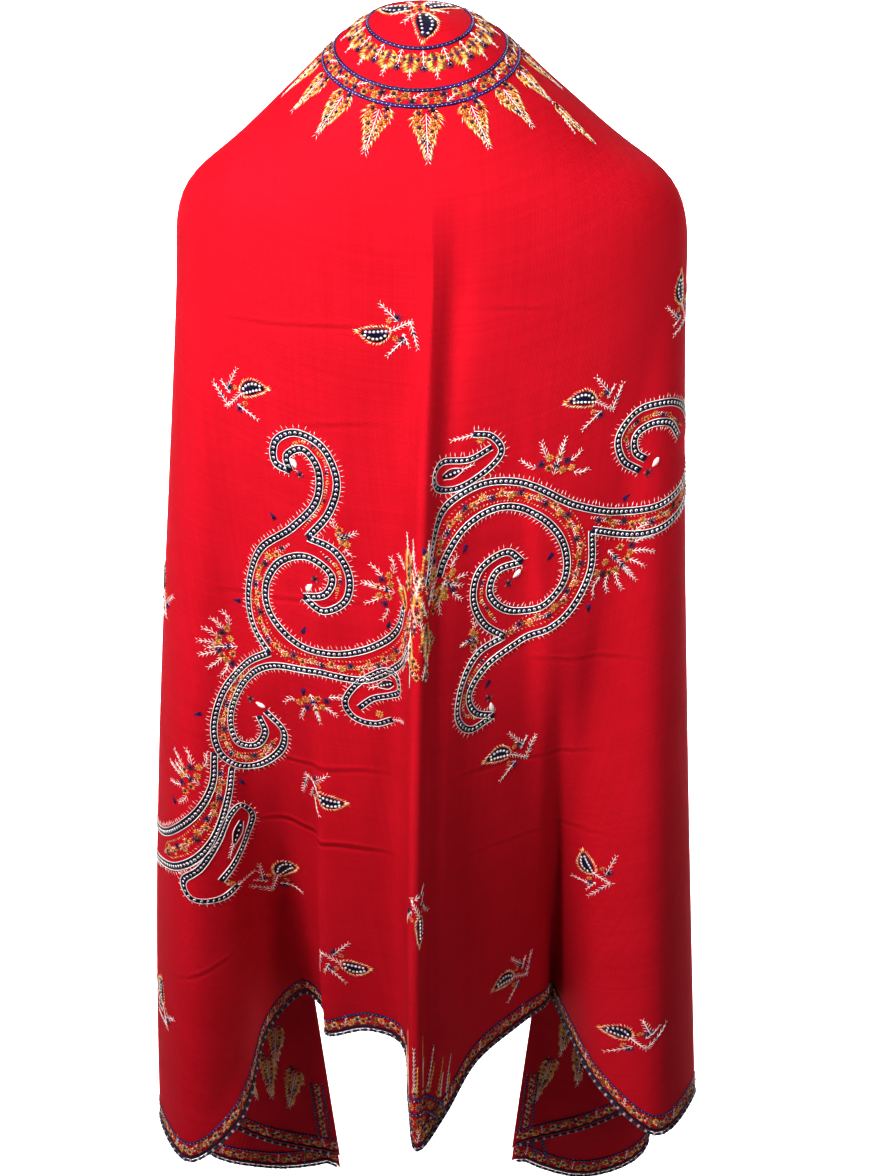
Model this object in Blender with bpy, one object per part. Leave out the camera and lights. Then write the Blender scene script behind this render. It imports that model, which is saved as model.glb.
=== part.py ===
"""A long woven shawl hanging over a neck and shoulders that are not there.

Metres, +Z up, +Y to the wearer's back. The origin is the point on the inside of the cloth that rests on top
of the neck. The cloth is one rectangle: it falls in a front and a back panel, and its long edges turn in at
both sides as a deep pleat, open from the elbow down. A couched cord lies along each short edge.
"""

from collections import namedtuple
import bmesh
import bpy
import numpy as np

WALL = 0.0016  # thickness of the cloth
SEAM_GAP = 0.0003  # between the cloth's edge and the cord sewn to it
CORD_DIAMETER = 0.003
CORD_CLEARANCE = SEAM_GAP + 0.0006  # from the cloth's edge to the cord's side, which turns with the folds
CORD_FREE_COLUMNS = 1  # at each end of a cord, next to the corner

COLUMNS_PER_FOLD = 3
CROWN_ROWS = 9
BODY_ROWS = 15
SLIT_ROW = 5  # body row where the long edges part
SLIT_GAP = 0.014  # how far the back layer's long edge stands behind the front layer's at the hem
SLIT_DROP = 0.026  # and how much lower it hangs there

SHOULDER_SHIFT = 0.011  # the cloth hangs a little to one side of the neck
HEM_SHIFT = -0.016  # and to the other side lower down
FLARE_WIDTH = 0.030  # how much half the width grows from shoulder to hem, folds apart
FLARE_DEPTH = 0.020

# Outline of the cloth over neck and shoulders, from the top down.
Ring = namedtuple("Ring", "half_width half_depth z")
CROWN = [
    Ring(0.000, 0.000, 0.0016),
    Ring(0.022, 0.020, 0.0006),
    Ring(0.041, 0.036, -0.0040),
    Ring(0.060, 0.052, -0.0150),
    Ring(0.082, 0.064, -0.0380),
    Ring(0.115, 0.080, -0.0680),
    Ring(0.149, 0.092, -0.0990),
    Ring(0.177, 0.100, -0.1260),
    Ring(0.209, 0.105, -0.1420),
    Ring(0.220, 0.108, -0.1620),
    Ring(0.222, 0.110, -0.2050),
]

# Folds, going round from the pleat at -X by the front. azimuth is where a fold starts on the shoulders, in
# degrees from the front; x, y, z is where it ends at the hem; start is how far down the body it begins, as a
# share; and growth is the power that it deepens by.
Fold = namedtuple("Fold", "name azimuth x y z start growth")
FOLDS = [
    Fold("left corner", -98, -0.086, 0.030, -1.190, 0.05, 0.62),
    Fold("left pleat", -90, -0.160, 0.024, -1.165, 0.03, 0.70),
    Fold("left edge", -80, -0.241, 0.002, -1.105, 0.00, 1.10),
    Fold("left lobe side", -68, -0.258, -0.060, -1.072, 0.00, 1.15),
    Fold("left lobe", -56, -0.222, -0.128, -1.078, 0.05, 1.15),
    Fold("left lobe inner", -46, -0.176, -0.110, -1.045, 0.25, 1.15),
    Fold("left recess in", -38, -0.152, -0.030, -0.995, 0.40, 1.15),
    Fold("left recess", -31, -0.118, 0.006, -0.975, 0.45, 1.15),
    Fold("left recess out", -25, -0.094, -0.030, -0.975, 0.45, 1.15),
    Fold("left panel edge", -20, -0.090, -0.088, -0.962, 0.35, 1.15),
    Fold("left panel", -13, -0.052, -0.100, -0.948, 0.05, 1.15),
    Fold("ridge foot", -6, -0.020, -0.112, -0.955, 0.02, 1.15),
    Fold("ridge left", -2, -0.013, -0.175, -0.980, 0.00, 1.15),
    Fold("ridge", 0, -0.006, -0.222, -0.998, 0.00, 1.15),
    Fold("ridge right", 3, 0.018, -0.190, -0.985, 0.00, 1.15),
    Fold("right panel in", 10, 0.050, -0.128, -0.965, 0.02, 1.15),
    Fold("right panel", 20, 0.092, -0.086, -0.952, 0.10, 1.15),
    Fold("right panel edge", 27, 0.118, -0.050, -0.955, 0.40, 1.15),
    Fold("right recess", 33, 0.128, -0.004, -0.975, 0.45, 1.15),
    Fold("right recess out", 38, 0.140, -0.040, -0.985, 0.45, 1.15),
    Fold("right lobe inner", 46, 0.170, -0.100, -1.015, 0.30, 1.15),
    Fold("right lobe", 58, 0.222, -0.130, -1.048, 0.10, 1.15),
    Fold("right lobe side", 70, 0.264, -0.070, -1.045, 0.00, 1.15),
    Fold("right edge", 81, 0.258, 0.000, -1.085, 0.00, 1.10),
    Fold("right pleat", 90, 0.170, 0.024, -1.150, 0.03, 0.75),
    Fold("right corner", 98, 0.092, 0.030, -1.182, 0.05, 0.70),
    Fold("right back pleat", 105, 0.170, 0.056, -1.235, 0.03, 0.70),
    Fold("right back edge", 113, 0.235, 0.070, -1.205, 0.00, 1.10),
    Fold("right back lobe", 127, 0.222, 0.130, -1.140, 0.05, 1.15),
    Fold("right back valley", 140, 0.150, 0.090, -1.030, 0.25, 1.15),
    Fold("right back panel", 154, 0.090, 0.140, -0.990, 0.15, 1.15),
    Fold("back valley", 168, 0.040, 0.096, -0.980, 0.25, 1.15),
    Fold("back ridge", 180, 0.004, 0.176, -0.992, 0.05, 1.15),
    Fold("left back panel", 193, -0.046, 0.104, -0.970, 0.10, 1.15),
    Fold("left back ridge", 206, -0.100, 0.144, -0.990, 0.15, 1.15),
    Fold("left back valley", 220, -0.148, 0.092, -1.030, 0.25, 1.15),
    Fold("left back lobe", 234, -0.218, 0.132, -1.135, 0.05, 1.15),
    Fold("left back edge", 247, -0.232, 0.068, -1.200, 0.00, 1.10),
    Fold("left back pleat", 255, -0.160, 0.056, -1.222, 0.03, 0.70),
]
CORNERS = ("left corner", "right corner")

RED = (0.62, 0.008, 0.025, 1.0)
INDIGO = (0.035, 0.03, 0.16, 1.0)
CLOTH_ROUGHNESS = 0.75
CORD_ROUGHNESS = 0.6


def clear_scene():
    for thing in list(bpy.data.objects):
        bpy.data.objects.remove(thing, do_unlink=True)


def plain_material(name, colour, roughness):
    material = bpy.data.materials.new(name)
    material.use_nodes = True
    shader = material.node_tree.nodes["Principled BSDF"]
    shader.inputs["Base Color"].default_value = colour
    shader.inputs["Roughness"].default_value = roughness
    shader.inputs["Metallic"].default_value = 0.0
    return material


def blend(a, b, share):
    return a + (b - a) * share


def fold_at(numbers, knots, steps, index, share):
    """The fold numbers a share of the way from one fold to the next, on a smooth curve round the hem."""
    count = len(numbers)
    near = [numbers[(index + k) % count] for k in (-1, 0, 1, 2)]
    first = knots[index]
    last = knots[index + 1]
    at = [first - steps[index - 1], first, last, last + steps[(index + 1) % count]]
    place = blend(first, last, share)
    outer = [blend(near[k], near[k + 1], (place - at[k]) / (at[k + 1] - at[k])) for k in (0, 1, 2)]
    inner = [blend(outer[k], outer[k + 1], (place - at[k]) / (at[k + 2] - at[k])) for k in (0, 1)]
    return blend(inner[0], inner[1], share)


def fold_columns():
    """A row for each column of the cloth: azimuth in radians, hem x, y, z, start and growth."""
    numbers = np.array([fold[1:] for fold in FOLDS], float)
    hems = numbers[:, 1:3]
    steps = np.sqrt(np.linalg.norm(np.roll(hems, -1, 0) - hems, axis=1))
    knots = np.concatenate([[0.0], np.cumsum(steps)])
    turn = 360.0 / knots[-1]
    numbers[:, 0] -= turn * knots[:-1]
    columns = []
    for index in range(len(FOLDS)):
        for part in range(COLUMNS_PER_FOLD):
            share = part / COLUMNS_PER_FOLD
            column = fold_at(numbers, knots, steps, index, share)
            column[0] += turn * blend(knots[index], knots[index + 1], share)
            columns.append(column)
    columns = np.array(columns)
    columns[:, 0] = np.radians(columns[:, 0])
    return columns


def crown_ring(share):
    """The outline's half width, half depth and height, a share of the way down its own curve."""
    rings = np.array(CROWN)
    lengths = np.linalg.norm(np.diff(rings[:, [0, 2]], axis=0), axis=1)
    along = np.concatenate([[0.0], np.cumsum(lengths)])
    return [np.interp(share * along[-1], along, rings[:, k]) for k in range(3)]


def cloth_rows():
    """The cloth's outer surface as rings of points, from just under its top down to the hem."""
    columns = fold_columns()
    azimuth, hem_x, hem_y, hem_z, start, growth = columns.T
    rows = []
    for row in range(1, CROWN_ROWS + 1):
        share = row / CROWN_ROWS
        half_width, half_depth, z = crown_ring(share)
        x = SHOULDER_SHIFT * share + half_width * np.sin(azimuth)
        y = -half_depth * np.cos(azimuth)
        rows.append(np.column_stack([x, y, np.full(len(x), z)]))
    for row in range(1, BODY_ROWS + 1):
        down = row / BODY_ROWS
        half_width = CROWN[-1].half_width + FLARE_WIDTH * down
        x = blend(SHOULDER_SHIFT, HEM_SHIFT, down) + half_width * np.sin(azimuth)
        y = -(CROWN[-1].half_depth + FLARE_DEPTH * down) * np.cos(azimuth)
        depth = np.clip((down - start) / (1.0 - start), 0.0, 1.0) ** growth
        z = blend(CROWN[-1].z, hem_z, down)
        rows.append(np.column_stack([blend(x, hem_x, depth), blend(y, hem_y, depth), z]))
    return np.array(rows)


def corner_columns():
    names = [fold.name for fold in FOLDS]
    return [names.index(name) * COLUMNS_PER_FOLD for name in CORNERS]


def make_cloth(rows):
    """The woven rectangle, draped, with its long edges parted below the elbows."""
    mesh = bmesh.new()
    count = len(rows[0])
    top = mesh.verts.new((0.0, 0.0, CROWN[0].z))
    front = [[mesh.verts.new(point) for point in ring] for ring in rows]
    back = [list(ring) for ring in front]
    first_open = CROWN_ROWS + SLIT_ROW
    for row in range(first_open, len(rows)):
        share = (row - first_open + 1) / (len(rows) - first_open)
        for column in corner_columns():
            apart = np.array([0.0, SLIT_GAP * share, -SLIT_DROP * share])
            back[row][column] = mesh.verts.new(rows[row][column] + apart)
    left, right = corner_columns()
    for column in range(count):
        rings = front if left <= column < right else back
        after = (column + 1) % count
        mesh.faces.new((top, rings[0][column], rings[0][after]))
        for upper, lower in zip(rings, rings[1:]):
            mesh.faces.new((upper[column], lower[column], lower[after], upper[after]))
    data = bpy.data.meshes.new("shawl_cloth")
    mesh.to_mesh(data)
    mesh.free()
    data.shade_smooth()
    cloth = bpy.data.objects.new("shawl_cloth", data)
    bpy.context.scene.collection.objects.link(cloth)
    wall = cloth.modifiers.new("Wall", "SOLIDIFY")
    wall.thickness = WALL
    wall.offset = -1.0
    return cloth


def make_edge_cord(name, rows, columns):
    """The cord couched along a short edge, hanging just clear of the cloth's cut edge."""
    data = bpy.data.curves.new(name, "CURVE")
    data.dimensions = "3D"
    data.bevel_depth = CORD_DIAMETER / 2
    data.bevel_resolution = 0
    data.use_fill_caps = True
    data.twist_mode = "Z_UP"
    run = data.splines.new("POLY")
    run.points.add(len(columns) - 1)
    count = len(rows[0])
    for point, column in zip(run.points, columns):
        hem = rows[-1][column]
        along = rows[-1][(column + 1) % count] - rows[-1][column - 1]
        along = along / np.linalg.norm(along)
        out = hem - rows[-2][column]
        out = out - along * np.dot(out, along)
        out = out / np.linalg.norm(out)
        centre = hem + out * (CORD_DIAMETER / 2 + CORD_CLEARANCE)
        point.co = (*centre, 1.0)
    cord = bpy.data.objects.new(name, data)
    bpy.context.scene.collection.objects.link(cord)
    return cord


def main():
    clear_scene()
    rows = cloth_rows()
    cloth = make_cloth(rows)
    cloth.data.materials.append(plain_material("red_pashmina", RED, CLOTH_ROUGHNESS))
    count = len(rows[0])
    left, right = corner_columns()
    runs = {
        "front_edge_cord": (left, right),
        "back_edge_cord": (right, left + count),
    }
    for name, (first, last) in runs.items():
        columns = [k % count for k in range(first + CORD_FREE_COLUMNS, last - CORD_FREE_COLUMNS + 1)]
        cord = make_edge_cord(name, rows, columns)
        cord.data.materials.append(plain_material(name, INDIGO, CORD_ROUGHNESS))


main()
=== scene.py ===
import math
import bpy
import numpy as np
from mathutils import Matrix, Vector


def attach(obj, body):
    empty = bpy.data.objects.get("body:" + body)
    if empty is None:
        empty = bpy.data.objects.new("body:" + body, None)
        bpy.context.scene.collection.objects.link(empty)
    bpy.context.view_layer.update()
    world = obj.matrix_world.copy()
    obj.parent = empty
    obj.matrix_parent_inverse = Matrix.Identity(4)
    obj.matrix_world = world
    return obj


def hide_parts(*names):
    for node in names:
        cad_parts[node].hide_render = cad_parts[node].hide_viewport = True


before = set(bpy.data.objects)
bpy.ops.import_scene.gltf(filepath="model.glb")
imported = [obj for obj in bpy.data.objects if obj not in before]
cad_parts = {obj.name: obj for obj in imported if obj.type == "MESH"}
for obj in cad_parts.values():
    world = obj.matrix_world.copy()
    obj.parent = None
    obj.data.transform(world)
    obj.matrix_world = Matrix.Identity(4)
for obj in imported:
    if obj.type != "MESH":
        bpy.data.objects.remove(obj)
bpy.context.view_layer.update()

rng = np.random.default_rng(7)

# camera, first, so that every later piece is seen as it is made
cameraPlace = {"location": (0.0, -2.2, 0.45), "aim": (0.018, -0.032, -0.521), "lens": 80.2}


def makeCamera(place):
    data = bpy.data.cameras.new("viewCamera")
    data.lens = place["lens"]
    data.dof.use_dof = False
    camera = bpy.data.objects.new("viewCamera", data)
    bpy.context.scene.collection.objects.link(camera)
    camera.location = place["location"]
    toAim = Vector(place["aim"]) - Vector(place["location"])
    camera.rotation_euler = toAim.to_track_quat("-Z", "Y").to_euler()
    bpy.context.scene.camera = camera


makeCamera(cameraPlace)

# the shape of the drape, in metres; the same folds as the solid, cut finer
drape = {
    "columnsPerFold": 6,
    "crownRows": 30,
    "bodyRows": 130,
    "slitStart": 5.0 / 15.0,   # share of the body's height where the long edges part
    "slitGap": 0.014,
    "slitDrop": 0.026,
    "shift": 0.011,            # at the shoulders, to one side, and at the hem
    "hemShift": -0.016,
    "flareWidth": 0.030,
    "flareDepth": 0.020,
    "softening": 10,           # passes that round the form down the cloth
    "wall": 0.0010,
    "outside": 0.0001,         # the shell stands this far proud of the solid
}

# half width, half depth, height of the cloth over neck and shoulders
crownRings = np.array([
    (0.000, 0.000, 0.0016),
    (0.022, 0.020, 0.0006),
    (0.041, 0.036, -0.0040),
    (0.060, 0.052, -0.0150),
    (0.082, 0.064, -0.0380),
    (0.115, 0.080, -0.0680),
    (0.149, 0.092, -0.0990),
    (0.177, 0.100, -0.1260),
    (0.209, 0.105, -0.1420),
    (0.220, 0.108, -0.1620),
    (0.222, 0.110, -0.2050),
])

# fold: azimuth at the shoulder, then x, y, z at the hem, where it begins, and how it deepens
folds = {
    "leftCorner": (-98, -0.086, 0.030, -1.190, 0.05, 0.62),
    "leftPleat": (-90, -0.160, 0.024, -1.165, 0.03, 0.70),
    "leftEdge": (-80, -0.241, 0.002, -1.105, 0.00, 1.10),
    "leftLobeSide": (-68, -0.258, -0.060, -1.072, 0.00, 1.15),
    "leftLobe": (-56, -0.222, -0.128, -1.078, 0.05, 1.15),
    "leftLobeInner": (-46, -0.176, -0.110, -1.045, 0.25, 1.15),
    "leftRecessIn": (-38, -0.152, -0.030, -0.995, 0.40, 1.15),
    "leftRecess": (-31, -0.118, 0.006, -0.975, 0.45, 1.15),
    "leftRecessOut": (-25, -0.094, -0.030, -0.975, 0.45, 1.15),
    "leftPanelEdge": (-20, -0.090, -0.088, -0.962, 0.35, 1.15),
    "leftPanel": (-13, -0.052, -0.100, -0.948, 0.05, 1.15),
    "ridgeFoot": (-6, -0.020, -0.112, -0.955, 0.02, 1.15),
    "ridgeLeft": (-2, -0.013, -0.175, -0.980, 0.00, 1.15),
    "ridge": (0, -0.006, -0.222, -0.998, 0.00, 1.15),
    "ridgeRight": (3, 0.018, -0.190, -0.985, 0.00, 1.15),
    "rightPanelIn": (10, 0.050, -0.128, -0.965, 0.02, 1.15),
    "rightPanel": (20, 0.092, -0.086, -0.952, 0.10, 1.15),
    "rightPanelEdge": (27, 0.118, -0.050, -0.955, 0.40, 1.15),
    "rightRecess": (33, 0.128, -0.004, -0.975, 0.45, 1.15),
    "rightRecessOut": (38, 0.140, -0.040, -0.985, 0.45, 1.15),
    "rightLobeInner": (46, 0.170, -0.100, -1.015, 0.30, 1.15),
    "rightLobe": (58, 0.222, -0.130, -1.048, 0.10, 1.15),
    "rightLobeSide": (70, 0.264, -0.070, -1.045, 0.00, 1.15),
    "rightEdge": (81, 0.258, 0.000, -1.085, 0.00, 1.10),
    "rightPleat": (90, 0.170, 0.024, -1.150, 0.03, 0.75),
    "rightCorner": (98, 0.092, 0.030, -1.182, 0.05, 0.70),
    "rightBackPleat": (105, 0.170, 0.056, -1.235, 0.03, 0.70),
    "rightBackEdge": (113, 0.235, 0.070, -1.205, 0.00, 1.10),
    "rightBackLobe": (127, 0.222, 0.130, -1.140, 0.05, 1.15),
    "rightBackValley": (140, 0.150, 0.090, -1.030, 0.25, 1.15),
    "rightBackPanel": (154, 0.090, 0.140, -0.990, 0.15, 1.15),
    "backValley": (168, 0.040, 0.096, -0.980, 0.25, 1.15),
    "backRidge": (180, 0.004, 0.176, -0.992, 0.05, 1.15),
    "leftBackPanel": (193, -0.046, 0.104, -0.970, 0.10, 1.15),
    "leftBackRidge": (206, -0.100, 0.144, -0.990, 0.15, 1.15),
    "leftBackValley": (220, -0.148, 0.092, -1.030, 0.25, 1.15),
    "leftBackLobe": (234, -0.218, 0.132, -1.135, 0.05, 1.15),
    "leftBackEdge": (247, -0.232, 0.068, -1.200, 0.00, 1.10),
    "leftBackPleat": (255, -0.160, 0.056, -1.222, 0.03, 0.70),
}
foldNames = list(folds)
per = drape["columnsPerFold"]
columnCount = len(folds) * per
ridgeColumn = foldNames.index("ridge") * per
backColumn = foldNames.index("backRidge") * per
rightCorner = foldNames.index("rightCorner") * per


def mix(a, b, share):
    return a + (b - a) * share


def unit(vectors):
    return vectors / np.maximum(np.linalg.norm(vectors, axis=-1, keepdims=True), 1e-9)


def lengthsAlong(points):
    # distance from the first point to each of them, along the way
    return np.concatenate([[0.0], np.cumsum(np.linalg.norm(np.diff(points, axis=0), axis=1))])


def readAt(wanted, along, values):
    return np.column_stack([np.interp(wanted, along, column) for column in values.T])


def smoothCurve(points, wanted):
    # a smooth open curve through the points, read at shares of its own length
    points = np.asarray(points, float)
    ends = np.vstack([2 * points[0] - points[1], points, 2 * points[-1] - points[-2]])
    steps = np.sqrt(np.maximum(np.linalg.norm(np.diff(ends, axis=0), axis=1), 1e-9))
    knots = np.concatenate([[0.0], np.cumsum(steps)])
    fine = np.linspace(knots[1], knots[-2], 40 * len(points))
    index = np.clip(np.searchsorted(knots, fine, side="right") - 1, 1, len(points) - 1)
    made = catmull(ends, knots, index, fine)
    along = lengthsAlong(made)
    return readAt(np.asarray(wanted) * along[-1], along, made)


def catmull(points, knots, index, place):
    p = [points[index + k] for k in (-1, 0, 1, 2)]
    t = [knots[index + k] for k in (-1, 0, 1, 2)]
    outer = [mix(p[k], p[k + 1], ((place - t[k]) / (t[k + 1] - t[k]))[:, None]) for k in (0, 1, 2)]
    inner = [mix(outer[k], outer[k + 1], ((place - t[k]) / (t[k + 2] - t[k]))[:, None]) for k in (0, 1)]
    return mix(inner[0], inner[1], ((place - t[1]) / (t[2] - t[1]))[:, None])


def foldColumns():
    numbers = np.array(list(folds.values()), float)
    hems = numbers[:, 1:3]
    steps = np.sqrt(np.linalg.norm(np.roll(hems, -1, 0) - hems, axis=1))
    knots = np.concatenate([[0.0], np.cumsum(steps)])
    turn = 360.0 / knots[-1]
    numbers[:, 0] -= turn * knots[:-1]
    round3 = np.vstack([numbers, numbers, numbers])
    knots3 = np.concatenate([knots[:-1] - knots[-1], knots[:-1], knots + knots[-1]])
    place = np.concatenate([mix(knots[i], knots[i + 1], np.arange(per) / per) for i in range(len(folds))])
    index = np.repeat(np.arange(len(folds)), per) + len(folds)
    made = catmull(round3, knots3, index, place)
    made[:, 0] = np.radians(made[:, 0] + turn * place)
    return made


def drapeRows():
    azimuth, hemX, hemY, hemZ, start, growth = foldColumns().T
    rows = []
    for row in range(1, drape["crownRows"] + 1):
        share = row / drape["crownRows"]
        halfWidth, halfDepth, z = smoothCurve(crownRings, [share])[0]
        x = drape["shift"] * share + halfWidth * np.sin(azimuth)
        rows.append(np.column_stack([x, -halfDepth * np.cos(azimuth), np.full(len(x), z)]))
    for row in range(1, drape["bodyRows"] + 1):
        down = row / drape["bodyRows"]
        halfWidth = crownRings[-1][0] + drape["flareWidth"] * down
        x = mix(drape["shift"], drape["hemShift"], down) + halfWidth * np.sin(azimuth)
        y = -(crownRings[-1][1] + drape["flareDepth"] * down) * np.cos(azimuth)
        depth = np.clip((down - start) / (1.0 - start), 0.0, 1.0) ** growth
        z = mix(crownRings[-1][2], hemZ, down)
        rows.append(np.column_stack([mix(x, hemX, depth), mix(y, hemY, depth), z]))
    return np.array(rows)


def soften(rows, passes):
    # rounds the form down the cloth only; the hem and the top ring stay
    rows = rows.copy()
    for _ in range(passes):
        rows[1:-1] = 0.25 * rows[:-2] + 0.5 * rows[1:-1] + 0.25 * rows[2:]
    return rows


def wrapNormals(rows):
    # outward normals of rings of points that close on themselves
    closed = np.concatenate([rows[:, -1:], rows, rows[:, :1]], axis=1)
    return unit(np.cross(np.gradient(rows, axis=0), closed[:, 2:] - closed[:, :-2]))


def arcsFrom(rows, column):
    # distance along each ring of an open grid from one column, growing with the columns
    steps = np.linalg.norm(np.diff(rows, axis=1), axis=2)
    arcs = np.concatenate([np.zeros((len(rows), 1)), np.cumsum(steps, axis=1)], axis=1)
    return arcs - arcs[:, [column]]


# creases: height, how fast it falls away, where it begins and is full, then the depth of the trough
# beside it, how far that lies to its right, and its width; one without a height is a soft trough alone
creases = {
    "ridge": (0.0052, 0.012, -0.125, -0.22, 0.0066, 0.019, 0.013),
    "backRidge": (0.0042, 0.013, -0.125, -0.24, 0.0045, 0.019, 0.012),
    "leftPanelEdge": (0.0060, 0.011, -0.64, -0.80, 0.0050, -0.021, 0.012),
    "leftLobeInner": (0.0, 0.010, -0.32, -0.55, 0.0070, 0.0, 0.030),
    "rightBackPanel": (0.0, 0.010, -0.30, -0.50, 0.0050, 0.0, 0.030),
}


def creased(rows):
    normals = wrapNormals(rows)
    lift = np.zeros(rows.shape[:2])
    half = columnCount // 2
    for name, (height, width, top, full, depth, beside, wide) in creases.items():
        order = (np.arange(columnCount) + foldNames.index(name) * per - half) % columnCount
        arcs = arcsFrom(rows[:, order], half)
        grown = np.clip((top - rows[:, order, 2]) / (top - full), 0, 1)
        shape = height * np.exp(-np.abs(arcs) / width) - depth * np.exp(-((arcs - beside) / wide) ** 2)
        near = np.abs(np.arange(columnCount) - half) < columnCount // 4
        lift[:, order] += np.where(near, grown * shape, 0.0)
    lift *= np.clip(np.arange(len(rows))[::-1] / 6.0, 0, 1)[:, None]
    return rows + normals * (lift + drape["outside"])[:, :, None]


# the cloth as an open grid: its first and last columns are the two layers of the left long edge,
# and the right long edge has two columns as well; above the slits the layers lie together
ringsOnly = creased(soften(drapeRows(), drape["softening"]))
gridColumns = np.concatenate([np.arange(rightCorner + 1), np.arange(rightCorner, columnCount), [0]])
seam = rightCorner + 1            # first column of the back panel
lastColumn = len(gridColumns) - 1
ridgeAt, backRidgeAt = ridgeColumn, backColumn + 1
topPoint = np.array([0.0, 0.0, crownRings[0][2] + drape["outside"]])
clothRows = np.concatenate([np.tile(topPoint, (1, len(gridColumns), 1)), ringsOnly[:, gridColumns]])
clothNormals = np.concatenate([np.tile([0.0, 0.0, 1.0], (1, len(gridColumns), 1)),
                               wrapNormals(ringsOnly)[:, gridColumns]])
bodyShare = np.clip((np.arange(len(clothRows)) - drape["crownRows"]) / drape["bodyRows"], 0, 1)
openShare = np.clip((bodyShare - drape["slitStart"]) / (1 - drape["slitStart"]), 0, 1)
for column, weight in ((seam, 1.0), (seam + 1, 0.5), (lastColumn, 1.0), (lastColumn - 1, 0.5)):
    clothRows[:, column, 1] += weight * drape["slitGap"] * openShare
    clothRows[:, column, 2] -= weight * drape["slitDrop"] * openShare
meridians = np.concatenate([np.zeros((1, len(gridColumns))),
                            np.linalg.norm(np.diff(clothRows, axis=0), axis=2)]).cumsum(axis=0)
print("drape worked out:", clothRows.shape)


def cellOf(grid, rowAt, columnAt):
    # the corners of the cell round each place on a grid, and its shares of the way down and across
    r, c = rowAt.astype(int), columnAt.astype(int)
    shares = (rowAt - r)[:, None], (columnAt - c)[:, None]
    return grid[r, c], grid[r, c + 1], grid[r + 1, c], grid[r + 1, c + 1], *shares


def readGrid(rowAt, columnAt):
    # the cloth's points and outward normals at rows and columns that need not be whole
    rowAt = np.clip(rowAt, 0, len(clothRows) - 1.001)
    columnAt = np.clip(columnAt, 0, lastColumn - 0.001)
    found = []
    for grid in (clothRows, clothNormals):
        a, b, c, d, down, across = cellOf(grid, rowAt, columnAt)
        found.append(mix(mix(a, b, across), mix(c, d, across), down))
    return found[0], unit(found[1])


def panelPlacer(first, last, middle):
    # places (distance right of the middle, height) on the front or the back panel
    arcs = arcsFrom(clothRows[:, first:last + 1], middle - first)
    net = np.stack([arcs, clothRows[:, first:last + 1, 2]], axis=2)
    lastRow, count, rim = len(net) - 1, last - first, 0.007

    def place(flat):
        rowAt = np.interp(-flat[:, 1], -net[:, middle - first, 1], np.arange(lastRow + 1))
        columnAt = np.interp(flat[:, 0], arcs[lastRow // 2], np.arange(count + 1))
        for _ in range(14):
            rowAt, columnAt = np.clip(rowAt, 0, lastRow - 0.001), np.clip(columnAt, 0, count - 0.001)
            a, b, c, d, fr, fc = cellOf(net, rowAt, columnAt)
            miss = (flat - mix(mix(a, b, fc), mix(c, d, fc), fr)).T
            down, over = mix(c - a, d - b, fc).T, mix(b - a, d - c, fr).T
            area = down[0] * over[1] - down[1] * over[0]
            area = np.where(np.abs(area) < 1e-9, 1e-9, area)
            rowAt = rowAt + np.clip((miss[0] * over[1] - miss[1] * over[0]) / area, -8, 8)
            columnAt = columnAt + np.clip((down[0] * miss[1] - down[1] * miss[0]) / area, -8, 8)
        r = np.clip(rowAt, 0, lastRow).astype(int)
        inside = (flat[:, 0] > arcs[r, 0] + rim) & (flat[:, 0] < arcs[r, -1] - rim) & (rowAt < lastRow - 0.2)
        return (*readGrid(rowAt, np.clip(columnAt, 0, count) + first), inside)

    return place


azimuths = foldColumns()[:, 0]
azimuths = np.concatenate([azimuths[:rightCorner + 1], azimuths[rightCorner:], [azimuths[0] + 2 * np.pi]])


def alongMeridian(c, reach, fromHem=False):
    rowAt = np.empty_like(reach)
    for column in np.unique(c):
        here = c == column
        drop = meridians[:, column]
        wanted = drop[-1] - reach[here] if fromHem else reach[here]
        rowAt[here] = np.interp(wanted, drop, np.arange(len(meridians)))
    return rowAt


crownShift = 0.019          # the medallion's centre lies this far to the front of the neck's top


def crownPlacer(flat):
    # places (metres right, metres back) from the medallion's centre, on the cloth spread over the crown
    x, y = flat[:, 0], flat[:, 1] - crownShift
    angle = (np.arctan2(x, -y) - azimuths[0]) % (2 * np.pi) + azimuths[0]
    columnAt = np.interp(angle, azimuths, np.arange(len(azimuths)))
    rowAt = alongMeridian(np.round(columnAt).astype(int), np.hypot(x, y))
    return (*readGrid(rowAt, columnAt), np.full(len(flat), True))


hemSteps = np.linalg.norm(np.diff(clothRows[-1], axis=0), axis=1)
hemSteps[seam - 1] = 0.0          # from the front panel's corner to the back panel's
hemArcs = np.concatenate([[0.0], np.cumsum(hemSteps)])


def hemPlacer(flat):
    # places (distance along the hem from the left corner by the front, distance up from the hem)
    columnAt = np.interp(flat[:, 0], hemArcs, np.arange(len(hemArcs)))
    rowAt = alongMeridian(np.round(columnAt).astype(int), flat[:, 1], fromHem=True)
    return (*readGrid(rowAt, columnAt), np.full(len(flat), True))


def hemInsidePlacer(flat):
    # the same on the inner side of the cloth
    points, normals, inside = hemPlacer(flat)
    return points - normals * drape["wall"], -normals, inside


placers = {
    "front": panelPlacer(0, seam - 1, ridgeAt),
    "back": panelPlacer(seam, lastColumn, backRidgeAt),
    "crown": crownPlacer,
    "hem": hemPlacer,
    "hemInside": hemInsidePlacer,
}


def link(name, data):
    piece = bpy.data.objects.new(name, data)
    bpy.context.scene.collection.objects.link(piece)
    return piece


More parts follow.
